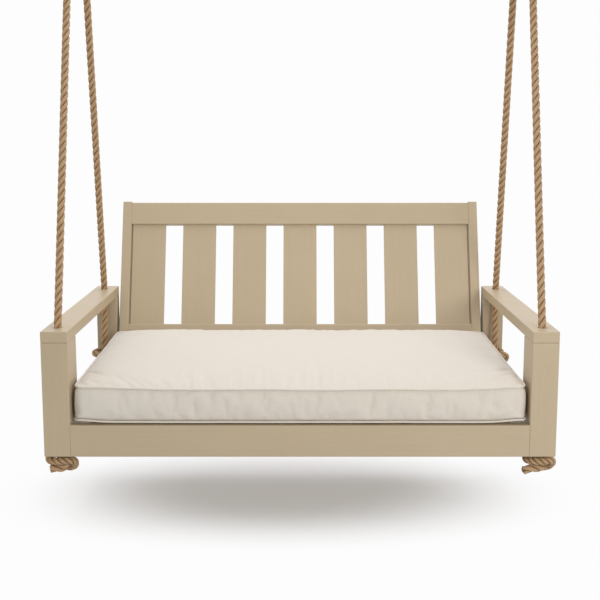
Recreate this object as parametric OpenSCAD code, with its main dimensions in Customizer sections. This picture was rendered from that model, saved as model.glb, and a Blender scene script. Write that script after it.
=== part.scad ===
// Hanging swing bed: a painted wooden daybed frame with arms and a slatted back,
// a boxed seat cushion, and four ropes that hang from two ceiling brackets.
// Millimetres, +X to the sitter's left as seen from the front (right in a front
// view), +Y to the back, +Z up. The origin lies on the ceiling, halfway between
// the brackets and straight above the hanging bolts.

/* [Arms and posts] */
// Width over the outer faces of the two arms
overall_w = 1706; // [1500:2:2100]
// Width of the posts, arm caps and side rails
arm_w = 89; // [80:1:110]
// Depth of a front post, front to back
post_d = 139; // [120:1:160]
// Length of an arm cap, front to back
arm_l = 1050; // [1030:1:1100]
// Height of the arm cap's top face over the bottom of the posts
arm_h = 424.5; // [400:0.5:480]
// Thickness of an arm cap
cap_t = 38; // [30:1:45]
// Thickness of the rear post's two boards, in X for the inner and in Y for the outer
rear_board_t = 38; // [32:1:42]
// Depth of the rear post's inner board
rear_board_d = 68; // [60:1:75]

/* [Seat frame] */
// Height of the front, rear and side rails
rail_h = 108; // [100:1:140]
// Thickness of the front, rear and centre rails
rail_t = 38; // [30:1:45]
// Distance from the back of the rear rail to the rear ends of the arms
rear_rail_inset = 62; // [55:1:65]
// Height of the centre rail under the deck slats
centre_rail_h = 89; // [70:1:89]
// Number of deck slats
deck_slats = 10; // [8:1:12]
// Width of a deck slat
deck_slat_w = 89; // [60:1:95]
// Thickness of a deck slat
deck_slat_t = 18; // [15:1:19]
// Width of the cleats that carry the slat ends
cleat_w = 19; // [15:1:30]
// Height of the cleats
cleat_h = 38; // [30:1:45]

/* [Back] */
// Lean of the back from upright, in degrees
back_lean = 20.5; // [15:0.5:23]
// Distance from the back's face at deck level to the rear ends of the arms
back_inset = 129; // [120:1:135]
// Length of a stile up the slope
stile_l = 709; // [650:1:800]
// Width of a stile's front face
stile_w = 38; // [30:1:45]
// Depth of a stile, square to its front face
stile_d = 89; // [80:1:95]
// Gap between a stile and the arm beside it
stile_gap = 9; // [5:1:15]
// Width of the top and bottom rails of the back, up the slope
back_rail_w = 95; // [80:1:110]
// Thickness of the top and bottom rails of the back
back_rail_t = 30; // [26:1:38]
// Drop of the top rail below the stile tops
top_rail_drop = 5; // [0:1:10]
// Height of the bottom rail's upper edge, up the slope from the deck
bottom_rail_u = 177; // [150:1:200]
// Number of back slats
back_slats = 7; // [5:1:9]
// Width of a back slat
back_slat_w = 140; // [100:1:145]
// Thickness of a back slat
back_slat_t = 12; // [9:1:14]
// Gap between an end slat and its stile
end_slat_gap = 6; // [4:1:20]
// Depth of the mortises that hold the slat ends
mortise_d = 12; // [8:1:18]
// Diameter of the four bolts that hold the back
back_bolt_d = 10; // [8:0.5:11]
// Height of the lower bolts over the deck
back_bolt_rise = 40; // [36:1:44]
// Distance between the two bolts of a side
back_bolt_pitch = 50; // [45:1:52]

/* [Ropes] */
// Diameter of the three-strand rope
rope_d = 25; // [20:0.5:28]
// Diameter of the rope holes
rope_hole_d = 29; // [28.5:0.5:36]
// Distance from the outer face of an arm to the rope holes
rope_inset = 43; // [38:1:46]
// Distance from the front face to the front rope hole
front_hole_y = 75; // [65:1:80]
// Distance from the rear rope hole to the rear end of the arm
rear_hole_inset = 85; // [84:1:95]

/* [Ceiling brackets] */
// Height of the hanging bolts over the bottom of the posts
hang_h = 1760; // [1700:10:2400]
// Distance from the front face to the hanging bolts
hang_y = 536; // [500:1:620]
// Distance between the middles of the two hanging bolts
hang_span = 1602; // [1580:1:1660]
// Distance between the two rope eyes on one bolt
eye_pitch = 44; // [42:1:60]
// Diameter of a hanging bolt
hang_bolt_d = 16; // [12:1:18]
// Height from the bolt's axis to the ceiling
bracket_drop = 60; // [56:1:100]
// Thickness of the bracket's steel
bracket_t = 6; // [4:1:8]
// Distance between the screw holes across the bed
screw_span_x = 140; // [130:1:180]
// Distance between the screw holes front to back
screw_span_y = 44; // [36:1:60]
// Diameter of the screw holes
screw_hole_d = 9; // [6:0.5:12]
// Distance from the screw holes' middles to the plate's edges
screw_edge = 14; // [12:1:20]

/* [Cushion] */
// Gap between the cushion's side seams and the arms
cushion_side_gap = 17; // [15:1:40]
// Distance from the front face to the cushion's front seam
cushion_front_inset = 14; // [10:1:30]
// Gap between the cushion's rear seam and the back's foot
cushion_back_gap = 13; // [11:1:40]
// Height from the deck to the middle of the front top seam
cushion_h = 118; // [90:1:140]
// Rise of the top seam from the front to the back
cushion_back_rise = 32; // [0:1:40]
// Rise of the front corners over the middle of the front seam
cushion_corner_rise = 10; // [0:1:15]
// Rise of the crown over the seams
cushion_crown = 36; // [15:1:50]
// Diameter of the piping
piping_d = 10; // [6:1:14]

/* [Hidden] */
sides = ["left", "right"];

// Colours of paint, rope, steel and cloth
paint = [0.72, 0.65, 0.54];
rope_colour = [0.72, 0.58, 0.42];
steel = [0.62, 0.63, 0.64];
cloth = [0.91, 0.88, 0.84];

// Clearances: between faces that only rest on each other, of a slat in its mortise,
// of a bolt in its hole and of a thimble on its bolt
seat_gap = 0.3;
mortise_gap = 0.3;
bolt_gap = 0.25;
// Radius of the eased edges of the boards and of the back slats
ease = 3;
slat_ease = 2;
// Facets of a full circle on bores, pins and edges
round_fn = 48;

// Places that follow from the sizes
half_w = overall_w / 2;
inner_x = half_w - arm_w;
rope_x = half_w - rope_inset;
rear_rail_y0 = arm_l - rear_rail_inset - rail_t;
rear_hole_y = arm_l - rear_hole_inset;
back_foot_y = arm_l - back_inset;
stile_x = inner_x - stile_gap;
cap_z = arm_h - cap_t;
ceiling_h = hang_h + bracket_drop;
rear_inner_y = arm_l - rear_board_d;
cushion_w = 2 * (inner_x - cushion_side_gap);
cushion_d = back_foot_y - cushion_front_inset - cushion_back_gap;
mouth_h = 8;
rear_outer_y = arm_l - rear_board_t;

// ---------------------------------------------------------------- boards

// Outline of a board with eased corners, from the origin
module eased_outline(w, h, r = ease) {
    translate([r, 0]) square([w - 2 * r, h]);
    translate([0, r]) square([w, h - 2 * r]);
    for (x = [r, w - r], y = [r, h - r])
        translate([x, y]) circle(r, $fn = 24);
}

// Boards of a given size whose long edges are eased, running along X, Y or Z
module board_x(size) {
    rotate([90, 0, 90]) linear_extrude(size[0]) eased_outline(size[1], size[2]);
}
module board_y(size) {
    translate([0, size[1], 0]) rotate([90, 0, 0])
        linear_extrude(size[1]) eased_outline(size[0], size[2]);
}
module board_z(size, r = ease) {
    linear_extrude(size[2]) eased_outline(size[0], size[1], r);
}

// A block eased on all twelve edges, for pieces whose ends show
module eased_block(size) {
    intersection() {
        board_x(size);
        board_y(size);
        board_z(size);
    }
}

// side is 1 for the right arm and -1 for the left arm
module on_side(side) {
    if (side > 0) children();
    else mirror([1, 0, 0]) children();
}

// Puts what is drawn in the bed's own frame, with its origin at the middle of the
// front face's bottom edge, under the ceiling
module hung() {
    translate([0, -hang_y, -ceiling_h]) children();
}

// ---------------------------------------------------------------- arms

module rope_hole(y, z0, z1) {
    translate([rope_x, y, z0 - 1]) cylinder(d = rope_hole_d, h = z1 - z0 + 2, $fn = round_fn);
}

module front_post(side) {
    color(paint) hung() on_side(side) difference() {
        translate([inner_x, 0, 0]) eased_block([arm_w, post_d, cap_z]);
        rope_hole(front_hole_y, 0, cap_z);
    }
}

module arm_cap(side) {
    color(paint) hung() on_side(side) difference() {
        translate([inner_x, 0, cap_z]) eased_block([arm_w, arm_l, cap_t]);
        rope_hole(front_hole_y, cap_z, arm_h);
        rope_hole(rear_hole_y, cap_z, arm_h);
    }
}

// The hole in the rail has a wide mouth, in which the knot above it beds
module side_rail(side) {
    color(paint) hung() on_side(side) difference() {
        translate([inner_x, post_d, 0]) board_y([arm_w, arm_l - post_d, rail_h]);
        rope_hole(rail_hole_y, 0, rail_h);
        translate([rope_x, rail_hole_y, rail_h - mouth_h])
            cylinder(d1 = rope_hole_d, d2 = rope_hole_d + 2 * mouth_h, h = mouth_h + 0.01,
                     $fn = round_fn);
    }
}

module rear_post_inner(side) {
    color(paint) hung() on_side(side) difference() {
        translate([inner_x, rear_inner_y, rail_h])
            board_z([rear_board_t, rear_board_d, cap_z - rail_h]);
        back_bolt_holes();
    }
}

module rear_post_outer(side) {
    color(paint) hung() on_side(side)
        translate([inner_x + rear_board_t, rear_outer_y, rail_h])
            board_z([arm_w - rear_board_t, rear_board_t, cap_z - rail_h]);
}

// ---------------------------------------------------------------- seat frame

module front_rail() {
    color(paint) hung() translate([-inner_x, 0, 0]) board_x([2 * inner_x, rail_t, rail_h]);
}

module rear_rail() {
    color(paint) hung() translate([-inner_x, rear_rail_y0, 0])
        board_x([2 * inner_x, rail_t, rail_h]);
}

// Deck slats run front to back, flush with the rails' tops
deck_z = rail_h;
deck_slat_l = rear_rail_y0 - rail_t;
deck_pitch = (2 * inner_x - deck_slats * deck_slat_w) / (deck_slats + 1) + deck_slat_w;

module centre_rail() {
    color(paint) hung()
        translate([-inner_x, rail_t + (deck_slat_l - rail_t) / 2,
                   deck_z - deck_slat_t - centre_rail_h])
            board_x([2 * inner_x, rail_t, centre_rail_h]);
}

module cleat(y) {
    color(paint) hung() translate([-inner_x, y, deck_z - deck_slat_t - cleat_h])
        cube([2 * inner_x, cleat_w, cleat_h]);
}

module front_cleat() { cleat(rail_t); }
module rear_cleat() { cleat(rear_rail_y0 - cleat_w); }

module deck_slat(i) {
    color(paint) hung()
        translate([-inner_x + i * deck_pitch - deck_slat_w, rail_t, deck_z - deck_slat_t])
            board_y([deck_slat_w, deck_slat_l, deck_slat_t]);
}

// ---------------------------------------------------------------- back

// The back's own frame: X across, +Y square to its face and away from the sitter,
// +Z up the slope, from the line where its face meets the deck
module on_slope() {
    translate([0, back_foot_y, deck_z]) rotate([-back_lean, 0, 0]) children();
}

// Bolts pass through the rear post's inner board, a spacer and the stile, with their
// heads just in front of the outer board
bolt_z = [deck_z + back_bolt_rise, deck_z + back_bolt_rise + back_bolt_pitch];
bolt_y = rear_outer_y - back_bolt_d - 1;

module back_bolt_holes() {
    for (z = bolt_z)
        translate([inner_x - stile_gap - stile_w - 1, bolt_y, z]) rotate([0, 90, 0])
            cylinder(d = back_bolt_d + 2 * bolt_gap, h = stile_w + stile_gap + rear_board_t + 2,
                     $fn = round_fn);
}

// A stile's foot runs on below the deck's level and is cut off level there
stile_foot = stile_d * tan(back_lean) + 4 * ease;

module back_stile(side) {
    color(paint) hung() on_side(side) difference() {
        intersection() {
            on_slope() translate([stile_x - stile_w, 0, -stile_foot])
                eased_block([stile_w, stile_d, stile_l + stile_foot]);
            translate([0, 0, deck_z]) cube([overall_w, 2 * arm_l, 2 * stile_l]);
        }
        back_bolt_holes();
        on_slope() for (z = [top_rail_z, bottom_rail_z])
            translate([0, 0, z]) tenons(mortise_gap);
    }
}

// Rails of the back: tenoned into the stiles, with a row of mortises for the slats
tenon_l = 22;
tenon_t = back_rail_t / 3;
tenon_shoulder = 12;
top_rail_z = stile_l - top_rail_drop - back_rail_w;
bottom_rail_z = bottom_rail_u - back_rail_w;
back_rail_half = stile_x - stile_w;
back_slat_step = (2 * (stile_x - stile_w - end_slat_gap) - back_slat_w) / (back_slats - 1);
slat_y = (back_rail_t - back_slat_t) / 2;

// The tongue that runs through a rail and shows as a tenon at both of its ends
module tenons(gap = 0) {
    half = back_rail_half + tenon_l + gap;
    translate([-half, (back_rail_t - tenon_t) / 2 - gap, tenon_shoulder - gap])
        cube([2 * half, tenon_t + 2 * gap, back_rail_w - 2 * tenon_shoulder + 2 * gap]);
}

module back_rail(z, mortise_z) {
    color(paint) hung() on_slope() difference() {
        translate([0, 0, z]) {
            translate([-back_rail_half, 0, 0])
                board_x([2 * back_rail_half, back_rail_t, back_rail_w]);
            tenons();
        }
        for (i = [0 : back_slats - 1])
            translate([(i - (back_slats - 1) / 2) * back_slat_step - back_slat_w / 2
                       - mortise_gap, slat_y - mortise_gap, mortise_z])
                cube([back_slat_w + 2 * mortise_gap, back_slat_t + 2 * mortise_gap,
                      mortise_d + 1]);
    }
}

module back_top_rail() { back_rail(top_rail_z, top_rail_z - 1); }
module back_bottom_rail() { back_rail(bottom_rail_z, bottom_rail_u - mortise_d); }

module back_slat(i) {
    color(paint) hung() on_slope()
        translate([(i - (back_slats + 1) / 2) * back_slat_step - back_slat_w / 2, slat_y,
                   bottom_rail_u - mortise_d + mortise_gap])
            board_z([back_slat_w, back_slat_t,
                     top_rail_z - bottom_rail_u + 2 * (mortise_d - mortise_gap)], slat_ease);
}

// Spacers keep the gap between the stiles and the rear posts
module back_spacers() {
    color(steel) hung() for (side = [-1, 1], z = bolt_z)
        on_side(side) translate([inner_x - stile_gap, bolt_y, z]) rotate([0, 90, 0])
            difference() {
                cylinder(d = 2.4 * back_bolt_d, h = stile_gap, $fn = round_fn);
                translate([0, 0, -1])
                    cylinder(d = back_bolt_d + 2 * bolt_gap, h = stile_gap + 2, $fn = round_fn);
            }
}

// A domed head on the outside of the rear post, a nut on the inside of the stile
module back_bolts() {
    head_h = 0.5 * back_bolt_d;
    nut_h = 0.8 * back_bolt_d;
    grip = stile_w + stile_gap + rear_board_t;
    color(steel) hung() for (side = [-1, 1], z = bolt_z)
        on_side(side) translate([inner_x + rear_board_t, bolt_y, z]) rotate([0, 90, 0]) {
            rotate_extrude($fn = round_fn) intersection() {
                translate([0, -2 * back_bolt_d + head_h]) circle(2 * back_bolt_d, $fn = 96);
                square([back_bolt_d, head_h]);
            }
            translate([0, 0, -grip - nut_h])
                cylinder(d = back_bolt_d, h = grip + nut_h + 0.5, $fn = round_fn);
            translate([0, 0, -grip - nut_h]) cylinder(d = 1.9 * back_bolt_d, h = nut_h, $fn = 6);
        }
}

// ---------------------------------------------------------------- swept tubes

function unit(v) = v / norm(v);

// A smooth line through points, with n steps from each to the next
function blend(a, b, c, d, t) =
    0.5 * (2 * b + (c - a) * t + (2 * a - 5 * b + 4 * c - d) * t * t
           + (3 * b - a - 3 * c + d) * t * t * t);
function smooth(p, n) = [
    for (i = [0 : len(p) - 2], k = [0 : n - 1])
        blend(p[max(i - 1, 0)], p[i], p[i + 1], p[min(i + 2, len(p) - 1)], k / n),
    p[len(p) - 1]
];

// Directions along a line, and normals carried along it without twist
function directions(c) = [
    for (i = [0 : len(c) - 1]) unit(c[min(i + 1, len(c) - 1)] - c[max(i - 1, 0)])
];
function square_to(v, t) = unit(v - (v * t) * t);
function normals(t, v) = [
    for (i = 0, n = square_to(v, t[0]); i < len(t);
         i = i + 1, n = square_to(n, t[min(i, len(t) - 1)])) n
];

// A round tube along a line of points, closed with flat ends, of which the first is
// square to way
module tube(line, d, way, sides = 8) {
    t = [for (i = 0, run = directions(line); i < len(line); i = i + 1) i == 0 ? way : run[i]];
    n = normals(t, [1, 0, 0]);
    m = len(line);
    points = [
        for (i = [0 : m - 1], k = [0 : sides - 1])
            line[i] + d / 2 * (cos(360 * k / sides) * n[i]
                               + sin(360 * k / sides) * cross(t[i], n[i]))
    ];
    wall = [
        for (i = [0 : m - 2], k = [0 : sides - 1])
            let (a = i * sides + k, b = i * sides + (k + 1) % sides)
                each [[a, a + sides, b], [b, a + sides, b + sides]]
    ];
    ends = [
        for (k = [1 : sides - 2])
            each [[0, k, k + 1], [(m - 1) * sides, (m - 1) * sides + k + 1,
                                  (m - 1) * sides + k]]
    ];
    polyhedron(points, concat(wall, ends), convexity = 10);
}

// ---------------------------------------------------------------- ropes

// The eye at the top of a rope, round the hanging bolt at the origin, with its rope
// leaving straight down
thimble_r = 24;
thimble_t = 3;
thimble_w = 32;
thimble_leg = 62;
flange_t = 3;
flange_h = 9;
eye_r = thimble_r + thimble_t + rope_d / 2 + seat_gap;
eye_z = hang_bolt_d / 2 + seat_gap - thimble_r;
throat_z = -115;
throat_y = 11;
splice_z = -205;
// Where the straight legs of the eye leave its round top
leg_angle = acos(eye_r / norm([throat_y, throat_z - eye_z]))
            - atan2(eye_z - throat_z, throat_y);

module rope_eye() {
    turn = 180 - 2 * leg_angle;
    loop = concat(
        [[0, throat_y, throat_z]],
        [for (k = [0 : 14])
            let (a = leg_angle + k * turn / 14) [0, eye_r * cos(a), eye_z + eye_r * sin(a)]],
        [[0, -throat_y, throat_z]]
    );
    tube(loop, rope_d, [0, 0, 1], 10);
    hull() {
        for (y = [-throat_y, throat_y])
            translate([0, y, throat_z]) cylinder(d = rope_d, h = 2, $fn = 20);
        translate([0, 0, splice_z]) cylinder(d = rope_d + 1, h = 2, $fn = 20);
    }
}

module thimble() {
    w = thimble_w / 2;
    seat_r = thimble_r + thimble_t;
    rim_r = seat_r + flange_h;
    section = [
        [thimble_r, -w], [rim_r, -w], [rim_r, flange_t - w], [seat_r, flange_t - w],
        [seat_r, w - flange_t], [rim_r, w - flange_t], [rim_r, w], [thimble_r, w]
    ];
    translate([0, 0, eye_z]) rotate([90, 0, 90]) {
        rotate([0, 0, leg_angle])
            rotate_extrude(angle = 180 - 2 * leg_angle, $fn = 96) polygon(section);
        for (flip = [0, 1])
            mirror([flip, 0, 0]) rotate([0, 0, leg_angle]) rotate([90, 0, 0])
                translate([0, 0, -1]) linear_extrude(thimble_leg + 1) polygon(section);
    }
}

// A rope: from its hole in the cap up to its eye. reach_y is its hole, and eye_side is
// 1 where its eye is the outer one on the bolt and -1 where it is the inner one.
function lean_of(reach_y) = atan2(hang_y - reach_y, hang_h - arm_h);
function eye_x(eye_side) = hang_span / 2 + eye_side * eye_pitch / 2;

module at_eye(reach_y, eye_side) {
    translate([eye_x(eye_side), hang_y, hang_h]) rotate([-lean_of(reach_y), 0, 0]) children();
}

// A rope comes up its bore, bends over the lip of the hole and runs straight to its
// splice. foot is the line that it follows below the bend.
bend_r = 60;
function bend_line(lip, way) =
    let (lean = acos(way[2]), side = unit([way[0], way[1], 0]), start = bend_r * tan(lean / 2))
        [for (k = [0 : 4]) lip - [0, 0, start] + bend_r * (1 - cos(k / 4 * lean)) * side
            + [0, 0, bend_r * sin(k / 4 * lean)]];
function rope_line(reach_y, eye_side, foot) =
    let (
        lean = lean_of(reach_y),
        up = [0, sin(lean), cos(lean)],
        top = [eye_x(eye_side), hang_y, hang_h] + (splice_z + 6) * up,
        lip = [rope_x, reach_y, arm_h],
        bend = bend_line(lip, unit(top - lip))
    )
    concat(foot, bend, [for (k = [1 : 12]) bend[4] + k / 12 * (top - bend[4])]);

module rope(side, reach_y, eye_side, foot) {
    color(rope_colour) hung() on_side(side) {
        tube(rope_line(reach_y, eye_side, foot), rope_d, [0, 0, 1], 10);
        at_eye(reach_y, eye_side) rope_eye();
    }
}

module rope_front(side) { rope(side, front_hole_y, 1, [[rope_x, front_hole_y, -seat_gap]]); }

// A rear rope leans forward below the arm cap, to clear the rear post with its knot
module rope_rear(side) {
    rope(side, rear_hole_y, -1, [
        for (k = [0 : 6])
            [rope_x, rail_hole_y + (rear_hole_y - rail_hole_y) * (1 - cos(30 * k)) / 2,
             upper_knot_z + (cap_z - upper_knot_z) * k / 6]
    ]);
}

// ---------------------------------------------------------------- knots

// Routes of the two overhand knots, for a rope that comes down the Z axis, in units of
// a 25th of its diameter. The rope goes down, turns up beside itself, passes round its
// own standing part and is tucked down between that and the first turn. The rear rope's
// upper knot is turned about the rope, to clear the stile beside it.
stopper_route = [
    [0, 0, 0], [-3, 2, -14], [-6, 7, -29], [-4, 12, -45], [7, 15, -57], [23, 12, -60],
    [38, 4, -53], [45, -8, -42], [44, -22, -33], [35, -34, -28], [19, -41, -28],
    [-5, -43, -30], [-27, -35, -29], [-40, -17, -26], [-39, 5, -21], [-27, 24, -17],
    [-7, 32, -15], [11, 29, -15], [21, 15, -18], [21, 0, -28], [17, -14, -42],
    [6, -27, -54], [-13, -36, -58], [-33, -39, -60], [-56, -39, -61]
];
// The left front knot's tail is cut shorter
short_route = [for (i = [0 : len(stopper_route) - 2]) stopper_route[i]];
running_route = [
    [0, 0, 0], [-3, 2, -16], [-6, 7, -32], [-2, 14, -47], [11, 18, -57], [27, 13, -59],
    [39, 4, -52], [47, -8, -40], [46, -20, -30], [36, -32, -25], [20, -38, -24],
    [-4, -41, -24], [-26, -34, -24], [-38, -16, -23], [-37, 6, -22], [-26, 23, -20],
    [-6, 30, -17], [12, 27, -17], [22, 14, -20], [22, -2, -29], [17, -12, -43],
    [9, -13, -57], [2, -6, -71], [0, 0, -86], [0, 0, -100]
];
knot_scale = rope_d / 25;
running_rise = 76;
running_reach = 44;
running_turn = -15;
knot_h = running_rise * knot_scale;
knot_reach = running_reach * knot_scale;
knot_rope_d = rope_d - 0.6;
function scaled(route) = [for (p = route) p * knot_scale];

// The least gap between turns of a knot, over stretches more than two rope widths apart
function least_gap(line, d) = min([
    for (i = [0 : len(line) - 1], k = [0 : i - 1])
        if (i - k > 2.6 * knot_steps) norm(line[i] - line[k]) - d
]);
knot_steps = 2;
echo(knot_gap = [for (r = [stopper_route, running_route])
    least_gap(smooth(scaled(r), knot_steps), knot_rope_d)]);

module knot(route, side, y, z, turn = 0, tail = []) {
    color(rope_colour) hung() translate([side * rope_x, y, z]) rotate([0, 0, turn])
        tube(concat(smooth(scaled(route), knot_steps), tail), knot_rope_d, [0, 0, -1]);
}

module knot_front(side) {
    knot(side < 0 ? short_route : stopper_route, side, front_hole_y, -seat_gap);
}

// The rear ropes are knotted above and below the side rail
rail_hole_y = rear_inner_y - knot_reach;
upper_knot_z = rail_h + seat_gap + knot_h;
module upper_knot_rear(side) {
    knot(running_route, side, rail_hole_y, upper_knot_z, running_turn,
         [[0, 0, -upper_knot_z - seat_gap]]);
}
module lower_knot_rear(side) { knot(stopper_route, side, rail_hole_y, -seat_gap); }

// ---------------------------------------------------------------- ceiling brackets

ear_gap = eye_pitch + thimble_w + 5;
ear_r = 22;

module at_hanger(side) {
    on_side(side) translate([hang_span / 2, 0, -bracket_drop]) children();
}

module hanger_bracket(side) {
    plate_x = screw_span_x + 2 * screw_edge;
    plate_y = screw_span_y + 2 * screw_edge;
    color(steel) at_hanger(side) difference() {
        union() {
            translate([-plate_x / 2, -plate_y / 2, bracket_drop - bracket_t])
                board_z([plate_x, plate_y, bracket_t]);
            for (x = [-ear_gap / 2 - bracket_t, ear_gap / 2]) {
                translate([x, -ear_r, 0]) cube([bracket_t, 2 * ear_r, bracket_drop - 1]);
                translate([x, 0, 0]) rotate([0, 90, 0])
                    cylinder(r = ear_r, h = bracket_t, $fn = 96);
            }
        }
        translate([-plate_x / 2, 0, 0]) rotate([0, 90, 0])
            cylinder(d = hang_bolt_d + 2 * bolt_gap, h = plate_x, $fn = round_fn);
        for (x = [-1, 1], y = [-1, 1])
            translate([x * screw_span_x / 2, y * screw_span_y / 2, 0])
                cylinder(d = screw_hole_d, h = bracket_drop + 1, $fn = round_fn);
    }
}

module hanging_bolt(side) {
    reach = ear_gap / 2 + bracket_t;
    head_h = 0.65 * hang_bolt_d;
    nut_h = 0.8 * hang_bolt_d;
    color(steel) at_hanger(side) rotate([0, 90, 0]) {
        translate([0, 0, -reach - nut_h - 4])
            cylinder(d = hang_bolt_d, h = 2 * reach + nut_h + 5, $fn = round_fn);
        translate([0, 0, -reach - nut_h])
            cylinder(d = 1.75 * hang_bolt_d, h = nut_h, $fn = 6);
        translate([0, 0, reach]) cylinder(d = 1.75 * hang_bolt_d, h = head_h, $fn = 6);
    }
}

// A steel ring keeps the two eyes on a bolt apart
module eye_spacers() {
    w = eye_pitch - thimble_w - 1;
    color(steel) for (side = [-1, 1])
        at_hanger(side) translate([-w / 2, 0, 0]) rotate([0, 90, 0]) difference() {
            cylinder(d = 1.75 * hang_bolt_d, h = w, $fn = round_fn);
            translate([0, 0, -1])
                cylinder(d = hang_bolt_d + 2 * bolt_gap, h = w + 2, $fn = round_fn);
        }
}

module rope_thimbles() {
    color(steel) hung() for (side = [-1, 1]) on_side(side) {
        at_eye(front_hole_y, 1) thimble();
        at_eye(rear_hole_y, -1) thimble();
    }
}

// ---------------------------------------------------------------- cushion

// Plan outline of the cushion, as points round a rectangle with small round corners
corner_r = 30;
function arc_points(cx, cy, a0) = [
    for (k = [0 : 4]) [cx + corner_r * cos(a0 + 22.5 * k), cy + corner_r * sin(a0 + 22.5 * k)]
];
function side_points(a, b, n) = [for (k = [1 : n - 1]) a + (b - a) * k / n];
cushion_cx = cushion_w / 2 - corner_r;
cushion_cy = cushion_d / 2 - corner_r;
outline = concat(
    arc_points(cushion_cx, cushion_cy, 0),
    side_points([cushion_cx, cushion_d / 2], [-cushion_cx, cushion_d / 2], 10),
    arc_points(-cushion_cx, cushion_cy, 90),
    side_points([-cushion_w / 2, cushion_cy], [-cushion_w / 2, -cushion_cy], 6),
    arc_points(-cushion_cx, -cushion_cy, 180),
    side_points([-cushion_cx, -cushion_d / 2], [cushion_cx, -cushion_d / 2], 10),
    arc_points(cushion_cx, -cushion_cy, 270),
    side_points([cushion_w / 2, -cushion_cy], [cushion_w / 2, cushion_cy], 6)
);

// A share t of the way from the outline to the cushion's middle line
function toward_middle(p, t) =
    let (span = (cushion_w - cushion_d) / 2)
        p + t * ([max(-span, min(span, p[0])), 0] - p);
// The seam line rises to the back, and up to its front corners
function seam_z(p) =
    let (u = abs(p[0]) / (cushion_w / 2), v = p[1] / cushion_d + 0.5)
        cushion_h + cushion_back_rise * v + cushion_corner_rise * (1 - 1.7 * v) * pow(u, 4);

// Steps up the side: how far out from the seam line, how far up from the deck as a
// share of the seam's height, and how far up from there
side_steps = [
    [-4, 0, 0], [piping_d / 2, 0, piping_d * 0.45], [0, 0, piping_d * 0.9], [3, 0.3, 0],
    [5, 0.55, 0], [3, 0.8, 0], [0, 1, -piping_d * 0.5], [piping_d / 2, 1, 0],
    [0, 1, piping_d * 0.5]
];
crown_steps = [0.06, 0.16, 0.32, 0.54, 0.8];

module seat_cushion() {
    n = len(outline);
    rings = concat(
        [[for (p = outline) let (q = toward_middle(p, 0.5)) [q[0], q[1], 0]]],
        [for (s = side_steps)
            [for (p = outline)
                let (q = toward_middle(p, -s[0] / (cushion_d / 2)))
                    [q[0], q[1], s[1] * seam_z(p) + s[2]]]],
        [for (t = crown_steps)
            [for (p = outline)
                let (q = toward_middle(p, t))
                    [q[0], q[1], seam_z(q) + (1 - pow(1 - t, 3)) * cushion_crown]]]
    );
    m = len(rings);
    points = concat([for (r = rings) each r],
                    [[0, 0, 0], [0, 0, seam_z([0, 0]) + cushion_crown]]);
    wall = [
        for (i = [0 : m - 2], k = [0 : n - 1])
            let (a = i * n + k, b = i * n + (k + 1) % n)
                each [[a, a + n, b], [b, a + n, b + n]]
    ];
    caps = [
        for (k = [0 : n - 1])
            each [[m * n, k, (k + 1) % n], [m * n + 1, (m - 1) * n + (k + 1) % n,
                                            (m - 1) * n + k]]
    ];
    color(cloth) hung()
        translate([0, cushion_front_inset + cushion_d / 2, deck_z + seat_gap])
            polyhedron(points, concat(wall, caps), convexity = 4);
}

// ---------------------------------------------------------------- the swing bed

for (k = [0, 1]) {
    name = sides[k];
    side = 2 * k - 1;
    hanger_bracket(side);
    hanging_bolt(side);
    rope_front(side);
    rope_rear(side);
    knot_front(side);
    upper_knot_rear(side);
    lower_knot_rear(side);
    front_post(side);
    arm_cap(side);
    side_rail(side);
    rear_post_inner(side);
    rear_post_outer(side);
    back_stile(side);
}
for (i = [1 : deck_slats])
    deck_slat(i);
for (i = [1 : back_slats])
    back_slat(i);
eye_spacers();
rope_thimbles();
front_rail();
rear_rail();
centre_rail();
front_cleat();
rear_cleat();
back_top_rail();
back_bottom_rail();
back_bolts();
back_spacers();
seat_cushion();
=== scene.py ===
"""Hanging swing bed: ropes, knots, cushion, paint and steel over its CAD frame."""

import math
import random

import bpy
import numpy as np
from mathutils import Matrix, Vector, noise


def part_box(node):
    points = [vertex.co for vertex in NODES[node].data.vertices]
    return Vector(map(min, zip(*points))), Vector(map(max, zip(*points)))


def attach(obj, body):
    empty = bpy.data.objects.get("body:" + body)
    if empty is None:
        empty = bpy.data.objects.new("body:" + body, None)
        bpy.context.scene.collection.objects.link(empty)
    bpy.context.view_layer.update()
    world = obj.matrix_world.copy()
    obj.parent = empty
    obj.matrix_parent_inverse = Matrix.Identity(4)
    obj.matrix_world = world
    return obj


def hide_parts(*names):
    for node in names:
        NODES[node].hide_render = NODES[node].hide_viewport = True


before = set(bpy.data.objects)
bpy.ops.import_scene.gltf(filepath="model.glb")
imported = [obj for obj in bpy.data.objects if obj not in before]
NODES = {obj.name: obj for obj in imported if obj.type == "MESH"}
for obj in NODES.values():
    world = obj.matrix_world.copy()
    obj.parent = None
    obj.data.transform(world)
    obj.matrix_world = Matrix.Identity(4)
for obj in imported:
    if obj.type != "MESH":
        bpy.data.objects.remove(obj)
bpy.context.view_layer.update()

bl_info = {
    "name": "Hanging swing bed",
    "version": (1, 0, 0),
    "blender": (4, 5, 0),
    "location": "View3D > Sidebar > Swing bed",
    "description": "Makes the ropes, knots, cushion and finishes of a hanging swing bed",
    "category": "Object",
}

# The bed's own frame: X from its middle, Y back from its front face, Z up from the
# bottom of its posts. The row frame's origin is on the ceiling above it.
HANG_Y = 0.536
CEILING_H = 1.820
HANG_H = 1.760
BACK_LEAN = math.radians(20.5)


def in_row(points):
    """Points in the bed's own frame, moved to the row frame."""
    return np.asarray(points, float) - np.array([0.0, HANG_Y, CEILING_H])


# ------------------------------------------------------------------ colours


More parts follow.
